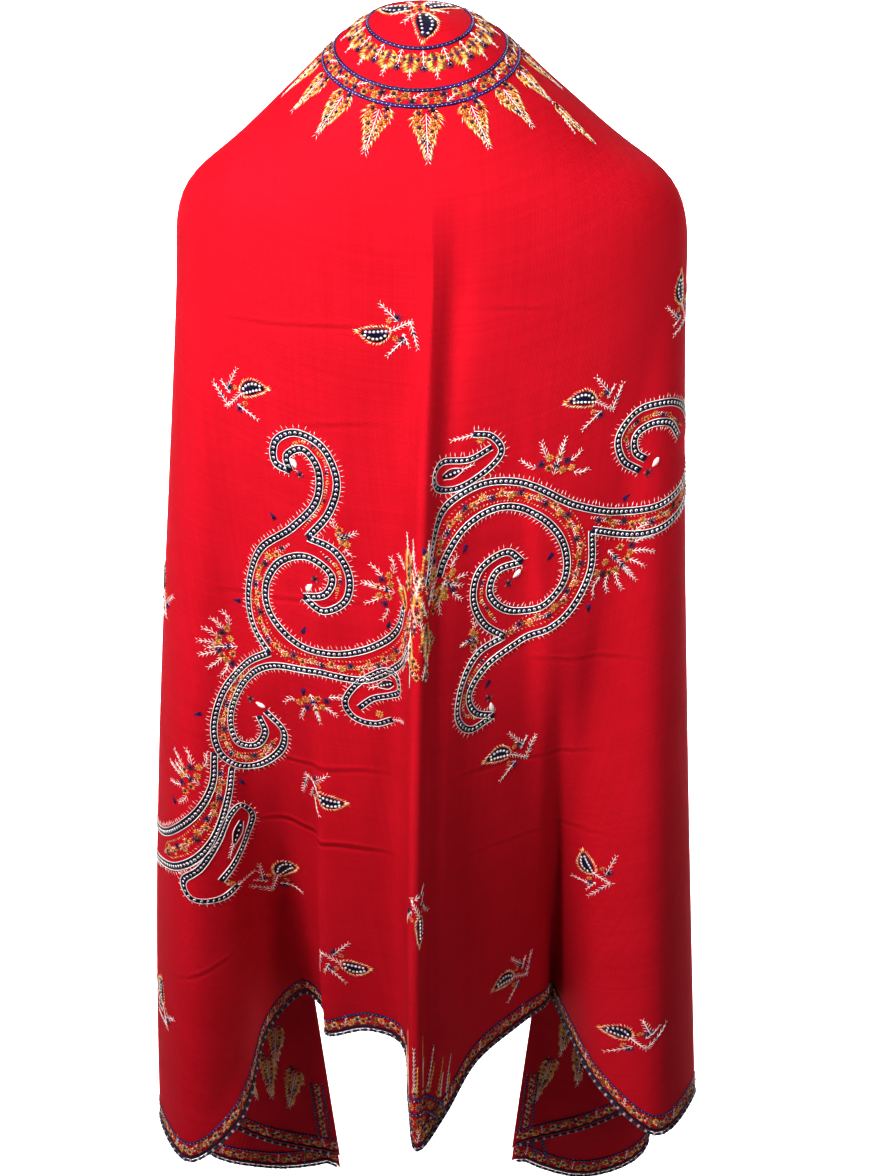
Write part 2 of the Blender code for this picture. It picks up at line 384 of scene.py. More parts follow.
def meshFrom(name, points, *faceSets):
    # each set of faces is an array with as many columns as its faces have corners
    data = bpy.data.meshes.new(name)
    faceSets = [np.asarray(faces, np.int32) for faces in faceSets]
    starts, total = [], 0
    for faces in faceSets:
        starts.append(total + np.arange(0, faces.size, faces.shape[1], dtype=np.int32))
        total += faces.size
    data.vertices.add(len(points))
    data.vertices.foreach_set("co", np.asarray(points, np.float32).ravel())
    data.loops.add(total)
    data.loops.foreach_set("vertex_index", np.concatenate([faces.ravel() for faces in faceSets]))
    data.polygons.add(sum(len(faces) for faces in faceSets))
    data.polygons.foreach_set("loop_start", np.concatenate(starts))
    data.update(calc_edges=True)
    return data


def giveUv(data, name, values):
    layer = data.uv_layers.new(name=name)
    layer.data.foreach_set("uv", np.asarray(values, np.float32).ravel())


def finish(piece):
    # smooth, on the body
    piece.data.shade_smooth()
    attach(piece, "root")
    return piece


def makeCloth():
    # one vertex for each point of the grid, the two layers of the long edges joined above the slits
    rows, columns = clothRows.shape[:2]
    ids = np.arange(rows * columns).reshape(rows, columns)
    ids[0, :] = 0
    joined = openShare <= 0
    ids[joined, seam] = ids[joined, seam - 1]
    ids[joined, lastColumn] = ids[joined, 0]
    arcs = arcsFrom(clothRows, ridgeAt)
    metres = np.stack([arcs, meridians], axis=2)

    def facesAt(*corners):
        return (np.column_stack([ids[i, j] for i, j in corners]),
                np.stack([metres[i, j] for i, j in corners], axis=1).reshape(-1, 2))

    columns = np.array([k for k in range(lastColumn) if k != seam - 1])
    r, c = (grid.ravel() for grid in np.meshgrid(np.arange(1, rows - 1), columns))
    quads, quadUvs = facesAt((r, c), (r + 1, c), (r + 1, c + 1), (r, c + 1))
    one = np.ones_like(columns)
    fans, fanUvs = facesAt((0 * one, columns), (one, columns), (one, columns + 1))
    used, fresh = np.unique(np.concatenate([quads.ravel(), fans.ravel()]), return_inverse=True)
    quads, fans = fresh[:quads.size].reshape(quads.shape), fresh[quads.size:].reshape(fans.shape)
    data = meshFrom("shawlCloth", clothRows.reshape(-1, 3)[used], quads, fans)
    giveUv(data, "clothMetres", np.concatenate([quadUvs, fanUvs]))
    piece = link("shawlCloth", data)
    wall = piece.modifiers.new("wall", "SOLIDIFY")
    wall.thickness = drape["wall"]
    wall.offset = -1.0
    bpy.ops.object.select_all(action="DESELECT")
    bpy.context.view_layer.objects.active = piece
    piece.select_set(True)
    bpy.ops.object.modifier_apply(modifier="wall")
    return finish(piece)


# materials: what the finishes share comes first
class Amount:
    # a number in a node tree, so that sums can be written plainly
    def __init__(self, socket):
        self.socket = socket

    def __add__(self, other):
        return maths("ADD", self, other)

    def __sub__(self, other):
        return maths("SUBTRACT", self, other)

    def __rsub__(self, other):
        return maths("SUBTRACT", other, self)

    def __mul__(self, other):
        return maths("MULTIPLY", self, other)

    def __truediv__(self, other):
        return maths("DIVIDE", self, other)


def feed(socket, value):
    # a link where the value comes from a node, else the plain value
    value = value.socket if isinstance(value, Amount) else value
    if isinstance(value, bpy.types.NodeSocket):
        socket.id_data.links.new(value, socket)
    else:
        socket.default_value = value


def fill(made, **values):
    # a node's sockets and settings, by name
    for key, value in values.items():
        label = key.replace("_", " ")
        if label in made.inputs:
            feed(made.inputs[label], value)
        else:
            setattr(made, key, value)
    return made


def node(tree, kind, **values):
    return fill(tree.nodes.new("ShaderNode" + kind), **values)


def maths(operation, *values):
    tree = next(value.socket.id_data for value in values if isinstance(value, Amount))
    made = node(tree, "Math", operation=operation)
    for socket, value in zip(made.inputs, values):
        feed(socket, value)
    return Amount(made.outputs[0])


def between(amount, low, high):
    return maths("MINIMUM", maths("MAXIMUM", amount, low), high)


def noise(place, scale, detail=2.0, rough=0.5):
    made = node(place.id_data, "TexNoise", Vector=place, Scale=scale, Detail=detail, Roughness=rough)
    return Amount(made.outputs["Fac"])


def axes(place, *names):
    parts = node(place.id_data, "SeparateXYZ", Vector=place)
    return [Amount(parts.outputs[name]) for name in names]


def objectPlace(tree):
    return node(tree, "TexCoord").outputs["Object"]


def uvPlace(tree, name):
    return node(tree, "UVMap", uv_map=name).outputs[0]


def nodeGroup(name, place, gives):
    # a group that reads one place and gives numbers
    group = bpy.data.node_groups.new(name, "ShaderNodeTree")
    group.interface.new_socket(name=place, in_out="INPUT", socket_type="NodeSocketVector")
    for label in gives:
        group.interface.new_socket(name=label, in_out="OUTPUT", socket_type="NodeSocketFloat")
    return group, group.nodes.new("NodeGroupInput").outputs[place], group.nodes.new("NodeGroupOutput")


def given(group, place):
    # what a group gives at a place, by name
    made = node(place.id_data, "Group", node_tree=group)
    feed(made.inputs[0], place)
    return {output.name: Amount(output) for output in made.outputs}


def principled(name, **values):
    made = bpy.data.materials.new(name)
    made.use_nodes = True
    return made, made.node_tree, fill(made.node_tree.nodes["Principled BSDF"], **values)


def ramp(amount, low, high, lowAt=0.0, highAt=1.0):
    made = node(amount.socket.id_data, "ValToRGB")
    feed(made.inputs[0], amount)
    for element, at, colour in zip(made.color_ramp.elements, (lowAt, highAt), (low, high)):
        element.position, element.color = at, colour
    return made.outputs["Color"]


def relief(shader, height, depth):
    fill(shader, Normal=node(shader.id_data, "Bump", Height=height, Strength=1.0, Distance=depth).outputs[0])


# a fine diagonal weave, with yarns thicker here and there: waves and grains to the metre
weaving = {"threads": 5200.0, "twill": 3100.0, "yarns": ((260.0, 6.0, 1.0), (5.0, 330.0, 1.0)), "mottle": 9.0}


def woollenWeave():
    tree, metres, end = nodeGroup("woollenWeave", "Metres", ("Relief", "Slubs", "Mottle"))
    across, down = axes(metres, "X", "Y")
    warp, weft = (maths("SINE", way * weaving["threads"]) for way in (across, down))
    twill = maths("SINE", (across + down) * weaving["twill"])
    yarns = [noise(node(tree, "Mapping", Vector=metres, Scale=scale).outputs[0], 1.0, 3.0, 0.55)
             for scale in weaving["yarns"]]
    slubs = yarns[0] * 0.45 + yarns[1] * 0.55
    fill(end, Relief=(warp + weft) * 0.25 + twill * 0.3 + slubs * 1.2, Slubs=slubs,
         Mottle=noise(metres, weaving["mottle"], 3.0, 0.6))
    return tree


# level marks where the cloth lay folded: height, from and to right of the middle, depth, slope
pressMarks = {
    "chest": (-0.243, -0.19, -0.02, 0.0004, 0.03),
    "chestRight": (-0.226, 0.02, 0.13, 0.0003, -0.04),
    "upper": (-0.329, -0.13, -0.02, 0.0003, 0.05),
    "waist": (-0.500, -0.20, -0.03, 0.0004, -0.02),
    "waistRight": (-0.545, 0.08, 0.22, 0.0004, -0.10),
    "low": (-0.664, -0.17, -0.01, 0.0005, 0.02),
    "lowRight": (-0.659, 0.01, 0.17, 0.0005, 0.02),
    "hip": (-0.750, -0.17, -0.01, 0.0008, -0.10),
    "hipRight": (-0.742, 0.01, 0.18, 0.0004, 0.01),
    "lobe": (-0.815, -0.26, -0.12, 0.0005, 0.30),
}
pressed = {"wide": 0.0034, "wander": 0.011, "fadesOver": 0.05}


def pressedFolds():
    # those marks as a height in metres, each a low ridge with a trough below it
    tree, place, end = nodeGroup("pressedFolds", "Place", ("Relief",))
    right, up = axes(place, "X", "Z")
    level = up + noise(place, 14.0) * pressed["wander"]
    total = 0.0
    for height, first, last, depth, slope in pressMarks.values():
        off = (level - right * slope - (height + pressed["wander"] / 2)) / pressed["wide"]
        ridge, trough = (maths("MAXIMUM", 1.0 - maths("ABSOLUTE", away), 0.0) for away in (off, off + 1.5))
        inside = (right - first, last - right)
        entry, leave = (between(way / pressed["fadesOver"], 0.0, 1.0) for way in inside)
        total = entry * leave * ((ridge - trough) * depth) + total
    fill(end, Relief=total)
    return tree


wool = {
    "dark": (0.48, 0.0065, 0.019, 1), "bright": (0.61, 0.0120, 0.033, 1),
    "roughness": (0.66, 0.82), "sheen": 0.02, "sheenTint": (1.0, 0.05, 0.08, 1), "relief": 0.00022,
}


def scarletWool():
    made, tree, shader = principled("scarletWool", Sheen_Weight=wool["sheen"], Sheen_Roughness=0.45,
                                    Sheen_Tint=wool["sheenTint"], Specular_IOR_Level=0.06)
    weave = given(woollenWeave(), uvPlace(tree, "clothMetres"))
    press = given(pressedFolds(), objectPlace(tree))
    low, high = wool["roughness"]
    rough = node(tree, "MapRange", Value=weave["Slubs"], To_Min=low, To_Max=high)
    tone = weave["Slubs"] * 0.6 + weave["Mottle"] * 0.4
    fill(shader, Base_Color=ramp(tone, wool["dark"], wool["bright"], 0.30, 0.72), Roughness=rough.outputs[0])
    relief(shader, weave["Relief"] + press["Relief"] * (1.0 / wool["relief"]), wool["relief"])
    return made


cloth = makeCloth()
cloth.data.materials.append(scarletWool())
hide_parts("shawl_cloth")
print("cloth made,", len(cloth.data.polygons), "faces")


# the embroidery, gathered as stitches, knots and ribbons, in metres on the flat cloth
thread = {
    "stitch": 0.00105,     # width of one stitch
    "lift": 0.00050,       # how far it stands up
    "band": 0.0057,        # width of a couched band
    "bandLift": 0.0006,
    "outline": 0.00075,
    "knot": 0.0019,        # radius of a white knot on a band
    "knotGap": 0.0047,
    "spike": 0.0055,
    "spikeGap": 0.0043,
}
colours = ("indigo", "violet", "white", "gold", "rust", "plum", "leaf")
stitches = {colour: [] for colour in colours}
ribbons = {colour: [] for colour in colours}
knots = {colour: [] for colour in colours}


def spot(placer, at, turn=0.0, flip=1.0):
    # a motif's own flat frame: x along it, y to its left, put down on the cloth at a place and a turn
    def put(points):
        return placer, np.asarray(at) + turned(np.atleast_2d(np.asarray(points, float)) * (1.0, flip), turn)

    return put


def sew(put, colour, a, b, width=None, lift=None):
    placer, ends = put([a, b])
    stitches[colour].append((placer, *ends[0], *ends[1], width or thread["stitch"], lift or thread["lift"]))


def lay(put, colour, path, width, lift):
    placer, points = put(path)
    ribbons[colour].append((placer, points, width, lift))


def knot(put, colour, at, radius=None, raised=0.0):
    placer, points = put([at])
    knots[colour].append((placer, *points[0], radius or thread["knot"], raised))


def evenly(path, gap):
    # points, unit directions and shares along a flat path, a gap apart
    path = np.asarray(path, float)
    along = lengthsAlong(path)
    wanted = np.linspace(0, along[-1], max(2, int(round(along[-1] / gap)) + 1))
    at = readAt(wanted, along, path)
    return at, unit(np.gradient(at, axis=0)), wanted / along[-1]


def turned(heading, degrees):
    (c, s), x, y = ray(degrees), heading[..., 0], heading[..., 1]
    return np.column_stack([c * x - s * y, s * x + c * y])


def ray(degrees):
    return np.array([math.cos(math.radians(degrees)), math.sin(math.radians(degrees))])


def fringe(put, colour, path, reach, gap, tilt, sides=(1, -1), uneven=0.25, width=None):
    # stitches leaning off the sides of a path
    at, heading, share = evenly(path, gap)
    for side in sides:
        lean = turned(heading, side * tilt)
        for k in range(len(at)):
            length = (reach(share[k]) if callable(reach) else reach) * (1 + uneven * rng.uniform(-1, 1))
            if length > 0.0007:
                sew(put, colour, at[k], at[k] + lean[k] * length, width)


def floret(put, at, radius, petals, colour, core="plum", rim=None):
    # petals of one or two colours round a knot
    at, first = np.array(at), rng.uniform(0, 360)
    for k in range(petals):
        way = ray(first + 360 * k / petals)
        shade = rim if rim and k % 3 == 2 else colour
        reach = radius * rng.uniform(0.85, 1.15)
        sew(put, shade, at + way * radius * 0.2, at + way * reach, min(0.0016, radius * 0.42))
    knot(put, core, at, radius * 0.36)


def fern(put, start, end, reach, colour="white", bow=0.0, gap=0.0039):
    # one small branch: a spine with pairs of leaning stitches, a little shorter to its tip
    start, end = np.array(start, float), np.array(end, float)
    side = np.array([start[1] - end[1], end[0] - start[0]])
    path = smoothCurve([start, (start + end) / 2 + side * bow, end], np.linspace(0, 1, 6))
    lay(put, colour, path, 0.0009, thread["lift"])
    fringe(put, colour, path, lambda t: 1.2 * reach * (1 - 0.35 * t), gap, 38, width=0.0009)


def budLeaf(put, at, heading, length, width):
    # a pointed leaf filled with slanting stitches round a dark heart
    at, way = np.array(at), ray(heading)
    across = np.array([-way[1], way[0]])
    count = max(4, int(length / 0.0015))
    for k in range(count):
        share = (k + 0.5) / count
        full = math.sin(math.pi * min(1.0, share * 0.85 + 0.15)) ** 0.7
        half = 0.5 * width * full * rng.uniform(0.85, 1.12)
        root = at + way * length * share * 0.84
        for side in (1, -1):
            colour = ("gold", "gold", "rust", "gold", "leaf")[(k + side) % 5]
            sew(put, colour, root, root + across * side * half + way * half * 0.6, 0.0017)
    floret(put, at + way * length * 0.30, width * 0.20, 7, "plum")
    fern(put, at + way * length * 0.66, at + way * length * 1.06, width * 0.22)


def cone(put, length, width):
    # the cone of a sprig, along +x: a dark body with rows of knots, and a fringe in gold and white
    t = np.linspace(0, 1, 13)
    half = 0.5 * width * np.sin(np.pi * t ** 0.8) ** 0.8
    bow = 0.13 * length * np.sin(np.pi * t)
    middle = np.column_stack([length * t, bow])
    lay(put, "indigo", middle[1:-1], 1.9 * half[1:-1], 0.0007)
    for side in (1, -1):
        edge = middle + np.column_stack([0 * t, side * half])
        fringe(put, "gold", edge, 0.0042, 0.0021, side * 52, sides=(1,), uneven=0.2)
        fringe(put, "white", edge, 0.0040, 0.0027, side * 42, sides=(1,), uneven=0.3)
    for k, share in enumerate(np.linspace(0.14, 0.80, 6)):
        wide = 0.5 * width * math.sin(math.pi * share ** 0.8)
        place = 0.13 * length * math.sin(math.pi * share)
        for side in (0.52, -0.52):
            knot(put, "white", (length * share + 0.0008 * side, place + side * wide), 0.0015, 0.0004)
    for turn in (30, 8, -14):
        tip = np.array([length, 0.0]) + ray(turn) * 0.0062
        sew(put, ("gold", "white", "gold")[turn % 3], (length * 0.95, 0.0), tip, 0.0012)


def sprig(placer, at, turn, flip):
    # the small scattered motif: a cone, a bent stem behind it, side branches and dark buds
    put = spot(placer, at, turn, flip)
    cone(put, 0.026, 0.0125)
    branches = (
        ((0.001, 0.0), (-0.018, -0.010), 0.0044), ((-0.017, -0.010), (-0.024, 0.012), 0.0050),
        ((-0.012, 0.006), (0.002, 0.0205), 0.0046), ((-0.007, -0.009), (0.008, -0.024), 0.0048),
        ((-0.011, 0.001), (-0.016, 0.012), 0.0034),
    )
    for start, end, reach in branches:
        fern(put, start, end, reach)
    for place, size in (((-0.010, 0.0065), 0.0042), ((-0.006, -0.0125), 0.0045), ((-0.0205, 0.0), 0.0026)):
        floret(put, place, size, 9, "plum", "indigo", "violet")
    for place in ((-0.0045, 0.0055), (0.0010, -0.0095)):
        floret(put, place, 0.0030, 7, "gold", "rust", "leaf")


floretColours = (("gold", "rust", "leaf"), ("plum", "indigo", "violet"), ("gold", "plum", "rust"))
sprayOpens = 150     # degrees


def spray(placer, at, turn, ferns, length):
    # a stem with florets on both sides, and a ring of branches beyond them
    put = spot(placer, at, turn)
    fern(put, (0.0, 0.0), (length * 0.80, 0.0), 0.0052)
    for k in range(ferns):
        way = ray(-sprayOpens / 2 + sprayOpens * k / max(1, ferns - 1))
        tip = way * length * rng.uniform(0.92, 1.05)
        fern(put, way * length * 0.58, tip, 0.0048, bow=0.05 * (k - ferns / 2))
    for share, count, done in ((0.27, 3, 0), (0.52, ferns, 3)):
        for k in range(count):
            way = ray(-sprayOpens / 2 + sprayOpens * (k + 0.5) / count)
            floret(put, way * (length * share), 0.0042, 9, *floretColours[(done + k) % 3])


def band(put, path, side, width):
    # a couched indigo band outlined in white, with ringed knots along it and spikes off one side
    at, heading, _ = evenly(path, 0.0034)
    aside = turned(heading, 90)
    lay(put, "indigo", at, width, thread["bandLift"])
    for edge in (1, -1):
        lay(put, "white", at + aside * edge * width * 0.56, thread["outline"], thread["bandLift"] * 1.2)
    for point in evenly(path, thread["knotGap"])[0][1:-1]:
        knot(put, "white", point, width * 0.36)
        knot(put, "indigo", point, 0.0008, 0.0011)
    at, heading, _ = evenly(path, thread["spikeGap"])
    aside = turned(heading, 90 * side)
    for k in range(len(at)):
        root = at[k] + aside[k] * width * 0.5
        lean = heading[k] * rng.uniform(-0.0022, 0.0012)
        sew(put, "white", root, root + aside[k] * thread["spike"] * rng.uniform(0.7, 1.15) + lean, 0.0008)


def curve(points):
    return smoothCurve(np.array(points) / 1000.0, np.linspace(0, 1, 120))


def field(put, points, room):
    # what grows between two bands: a herringbone chain with florets and buds on it
    path = curve(points)

    def roomAt(share):
        return room / 1000.0 * min(1.0, 6 * share + 0.35, 6 * (1 - share) + 0.35)

    at, heading, share = evenly(path, 0.0027)
    for k in range(len(at)):
        reach = min(0.0044, roomAt(share[k]) * 0.36)
        colour = ("white", "white", "gold", "white", "leaf", "gold")[(k // 3) % 6]
        for side in (1, -1):
            lean = turned(heading[k][None], side * 38)[0]
            sew(put, colour, at[k], at[k] + lean * reach * rng.uniform(0.8, 1.15), 0.0011)
    at, heading, share = evenly(path, 0.0086)
    for k in range(1, len(at) - 1):
        wide = roomAt(share[k])
        aside = turned(heading[k][None], 90)[0] * wide * 0.10 * (-1) ** k
        floret(put, at[k] + aside, min(0.0042, wide * 0.34), 9, *floretColours[k % 3])
    if room > 10:
        at, heading, share = evenly(path, 0.0034)
        for side in (1, -1):
            lean = turned(heading, side * 90)
            for k in range(2, len(at) - 2):
                root = at[k] + lean[k] * roomAt(share[k]) * 0.47
                end = root - lean[k] * 0.0022 + heading[k] * 0.0016
                sew(put, ("gold", "white", "leaf")[k % 3], root, end, 0.0010)


# the vine's bands: points in millimetres right of the middle and above the neck, and the side with spikes
bands = {
    "hookOuter": ([(-131, -380), (-144, -374), (-142, -355), (-124, -345), (-101, -355), (-90, -385),
        (-100, -415), (-122, -440)], 1),
    "hookInner": ([(-131, -380), (-133, -367), (-118, -359), (-106, -375), (-110, -405), (-135, -432),
        (-170, -458), (-190, -500), (-190, -530), (-175, -555)], -1),
    "spiralOuter": ([(-122, -440), (-100, -450), (-90, -475), (-97, -499), (-118, -508),
        (-133, -496)], 1),
    "spiralInner": ([(-133, -496), (-113, -492), (-105, -474), (-125, -458), (-150, -465), (-168, -490),
        (-168, -515), (-145, -542), (-105, -550), (-65, -535), (-47, -516), (-39, -498)], 1),
    "lowOuter": ([(-175, -555), (-205, -572), (-235, -600), (-252, -640), (-248, -665), (-222, -678),
        (-192, -662), (-180, -638), (-192, -618)], -1),
    "lowInner": ([(-27, -531), (-48, -552), (-90, -575), (-135, -568), (-175, -568), (-210, -590),
        (-232, -625), (-230, -650), (-212, -656), (-198, -640), (-200, -624)], 1),
    "farUpper": ([(-256, -658), (-268, -690), (-300, -722), (-350, -748), (-400, -755)], -1),
    "farLower": ([(-243, -676), (-258, -705), (-290, -745), (-335, -772), (-400, -785)], 1),
    "rightUpper": ([(8, -468), (13, -448), (28, -405), (60, -387), (100, -390), (150, -415), (200, -428),
        (255, -420), (300, -395)], 1),
    "ringOuter": ([(27, -466), (31, -452), (48, -425), (80, -410), (115, -420), (143, -450), (148, -485),
        (125, -510), (98, -508), (80, -490), (84, -470), (107, -464)], -1),
    "rightLower": ([(300, -420), (255, -442), (210, -450), (168, -440)], 1),
    "ringSide": ([(168, -440), (172, -480), (155, -518), (118, -540), (85, -560), (70, -585), (80, -603),
        (100, -610)], 1),
    "curlOuter": ([(107, -464), (92, -453), (68, -466), (64, -492), (78, -518), (100, -534)], -1),
    "lowCurl": ([(100, -534), (76, -545), (60, -572), (58, -602), (76, -618), (100, -610)], -1),
    "cornerOuter": ([(208, -392), (190, -380), (182, -358), (198, -338), (232, -335), (262, -350),
        (280, -375)], 1),
    "cornerInner": ([(212, -382), (202, -375), (200, -360), (214, -351), (235, -354), (250, -370)], -1),
}
# what fills the room between two bands: the way down its middle, and its width
fields = {
    "hook": ([(-136, -368), (-118, -352), (-99, -370), (-104, -405), (-125, -432)], 6),
    "trunk": ([(-140, -448), (-172, -475), (-180, -510), (-170, -545), (-130, -560), (-85, -562),
        (-45, -535), (-22, -495)], 15),
    "spiral": ([(-112, -452), (-98, -470), (-104, -495)], 7),
    "low": ([(-190, -572), (-222, -598), (-242, -635), (-238, -662), (-212, -668), (-190, -648)], 11),
    "far": ([(-252, -672), (-270, -708), (-310, -745), (-360, -768)], 16),
    "ring": ([(18, -485), (22, -450), (42, -412), (75, -399), (115, -405), (150, -435), (160, -475),
        (145, -508), (112, -527), (92, -538)], 15),
    "right": ([(165, -428), (205, -439), (255, -431), (290, -412)], 15),
    "curl": ([(74, -470), (72, -492), (90, -518)], 7),
    "lowCurl": ([(86, -548), (68, -572), (66, -600), (88, -610)], 7),
    "corner": ([(196, -378), (192, -355), (222, -343), (255, -362)], 9),
}
# a bud's loop with its hooked tail first, the side with spikes, and the island inside it: root, turn, length
buds = {
    "left": ([(-70, -612), (-88, -618), (-106, -613), (-112, -599), (-102, -583), (-84, -570),
        (-68, -564), (-57, -570), (-57, -582), (-68, -588), (-86, -593),
        (-100, -603)], 1, (-64, -576, 196, 0.024), (-48, -607)),
    "right": ([(48, -341), (64, -344), (75, -358), (64, -374), (34, -389), (18, -386), (12, -374),
        (20, -365), (48, -363), (66, -354)], 1, (24, -378, 20, 0.028), (30, -346)),
    "low": ([(-296, -800), (-318, -807), (-338, -801), (-337, -786), (-314, -771), (-288, -749),
        (-264, -724), (-249, -717), (-243, -730), (-257, -750), (-281, -772),
        (-306, -789)], 1, (-256, -734, 228, 0.044), (-274, -797)),
}
# leaves of the tall cluster where the two halves of the vine meet: place, turn, length, width; then the
# bands' white ends and the short thorns: place and turn
cluster = [
    (-22, -478, 97, 46, 20), (-12, -515, 262, 44, 22), (4, -470, 84, 38, 20), (-32, -500, 118, 28, 16),
    (12, -508, 276, 34, 22), (22, -492, 62, 24, 14), (-3, -500, 90, 32, 18), (10, -500, 265, 26, 20),
]
tips = [
    (-127, -373, 300), (-127, -487, 60), (104, -475, 235), (97, -601, 120), (222, -386, 240),
    (-196, -612, 160),
]
thorns = [
    (-150, -428, 120), (-200, -512, 170), (-62, -524, 70), (-148, -586, 260), (-140, -532, 60),
    (195, -418, 40), (134, -456, 240), (176, -510, 280), (92, -574, 240), (4, -440, 110),
    (-240, -690, 300), (-312, -712, 120), (52, -440, 250), (-258, -618, 190),
]
# small motifs: place and turn, then left or right-handed, or the count of branches and the length in metres
sprigs = [
    (-36, -251, 180, 1), (-172, -316, 15, 1), (155, -321, 178, -1), (-155, -695, -14, -1),
    (124, -653, 184, -1), (255, -787, 135, 1), (7, -771, -90, 1), (-169, -876, -8, -1),
    (166, -895, 190, -1), (379, -949, 182, -1), (-259, -812, 25, 1), (243, -251, 95, 1),
    (-470, -930, 60, 1), (-300, -520, 80, 1), (400, -700, 170, -1),
]
sprays = [
    (-212, -556, 178, 8, 0.036), (-143, -592, -80, 5, 0.03), (-50, -488, 165, 5, 0.031),
    (124, -384, 78, 5, 0.032), (188, -462, -45, 9, 0.042), (30, -472, -15, 4, 0.026),
    (-96, -440, 20, 3, 0.018), (74, -530, 190, 3, 0.018), (-278, -688, 140, 6, 0.034),
]


def vines(side):
    def here(x, z, turn=0.0):
        return spot(side, (x / 1000, z / 1000), turn)

    put = here(0, 0)
    for points, room in fields.values():
        field(put, points, room)
    for points, spikes in bands.values():
        band(put, curve(points), spikes, thread["band"])
    for points, spikes, island, tail in buds.values():
        path = curve(points)
        band(put, path, spikes, thread["band"] * 0.85)
        fern(put, path[0], np.array(tail) / 1000, 0.0042)
        floret(put, path[0] * 0.6 + path[-1] * 0.4, 0.0044, 9, "gold", "rust", "leaf")
        own, length = here(*island[:3]), island[3]
        lay(own, "indigo", [(t * length * 0.62, 0.0) for t in (0, 0.25, 0.5, 0.75, 1)],
            np.array([0.003, 0.0058, 0.0062, 0.0048, 0.0022]), 0.0006)
        for t in (0.12, 0.26, 0.40, 0.52):
            knot(own, "white", (t * length, 0.0), 0.0016)
        for way in (1, -1):
            edge = [(0.0, way * 0.0022), (length * 0.3, way * 0.0046), (length * 0.64, way * 0.0016)]
            lay(own, "white", smoothCurve(edge, np.linspace(0, 1, 7)), thread["outline"], 0.0006)
        fern(own, (length * 0.6, 0.0), (length, 0.0), 0.0040)
    for place in tips:
        own = here(*place)
        lay(own, "white", [(-0.0045, 0.0), (-0.0015, 0.0004), (0.0015, 0.0002), (0.0045, -0.0006)],
            np.array([0.0022, 0.0056, 0.0050, 0.0012]), 0.0009)
        floret(own, (0.0105, -0.0010), 0.0044, 9, "plum", "indigo", "rust")
    for place in thorns:
        own = here(*place)
        for k in range(-2, 3):
            sew(own, "violet", (0.0, 0.0009 * k), (0.0098 - 0.0014 * abs(k), 0.0004 * k), 0.0015)
    for x, z, turn, flip in sprigs:
        sprig(side, (x / 1000, z / 1000), turn, flip)
    for x, z, turn, ferns, length in sprays:
        spray(side, (x / 1000, z / 1000), turn, ferns, length)
    # the tall cluster where the two halves of the vine meet
    for x, z, turn, length, wide in cluster:
        budLeaf(here(x, z), (0, 0), turn, length / 1000, wide / 1000)
    for k in range(60):
        place = (rng.uniform(-0.036, 0.024), -0.503 + rng.uniform(-0.050, 0.050))
        colour = ("gold", "plum", "rust", "white", "leaf")[k % 5]
        floret(spot(side, place), (0, 0), 0.0044, 9, colour, "plum", "gold")
    for k in range(18):
        place = np.array([rng.uniform(-0.036, 0.020), -0.550 + 0.0062 * k])
        fern(spot(side, place), (0, 0), ray(90 + rng.uniform(-35, 35)) * 0.014, 0.0044)


for side in ("front", "back"):
    vines(side)
print("vines and sprigs planned")

medallion = {"disc": 0.0450, "innerBand": 0.0805, "outerBand": 0.0940, "leaves": 16, "leafFrom": 0.0960,
             "leafLong": 0.0375, "leafWide": 0.0265, "florets": 18, "petal": (0.0210, 0.0185), "ring": 104}
leafColours = (("gold", "plum"), ("rust", "plum"), ("leaf", "rust"), ("gold", "rust"), ("plum", "indigo"))


def longLeaf(put, length, width):
    # a tapering leaf along +y: a white branch up its middle, florets and buds on both sides, ragged edges
    def halfAt(share):
        return 0.5 * width * min(1.0, 1.28 * (1 - share)) * min(1.0, 0.62 + 1.6 * share)

    rows = max(4, int(length / 0.0062))
    for k in range(rows):
        share = (k + 0.4) / rows
        half = halfAt(share)
        for side in (1, -1):
            place = (side * half * 0.60, length * share * 0.90 + 0.001 * side)
            size = min(0.0050, 0.0018 + half * 0.34)
            floret(put, place, size, 10, *leafColours[(2 * k + side) % 5], "gold")
    for side in (1, -1):
        edge = [(side * halfAt(t) * 0.82, length * t) for t in np.linspace(0.02, 0.92, 10)]
        fringe(put, "gold", edge, 0.0056, 0.0022, 38, sides=(-side,), uneven=0.6, width=0.0013)
        fringe(put, "white", edge, 0.0062, 0.0042, 30, sides=(-side,), uneven=0.5, width=0.0011)
    fern(put, (0.0, length * 0.10), (0.0, length * 1.10), width * 0.30, gap=0.0036)


def tiedLine(put, path, width):
    # a dark cord tied down with white stitches
    lay(put, "violet", path, width, 0.0007)
    at, heading, _ = evenly(path, 0.0038)
    for k in range(len(at)):
        sew(put, "white", at[k] - heading[k] * 0.0013, at[k] + heading[k] * 0.0013, 0.0015, 0.0012)


def roundCord(placer, radius, centre=(0.0, 0.0), fromTurn=-180, toTurn=180):
    count = 2 + int(math.radians(toTurn - fromTurn) * radius / 0.0040)
    turns = np.radians(np.linspace(fromTurn, toTurn, count))
    path = np.array(centre) + radius * np.column_stack([np.sin(turns), -np.cos(turns)])
    tiedLine(spot(placer, (0.0, 0.0)), path, 0.0034)


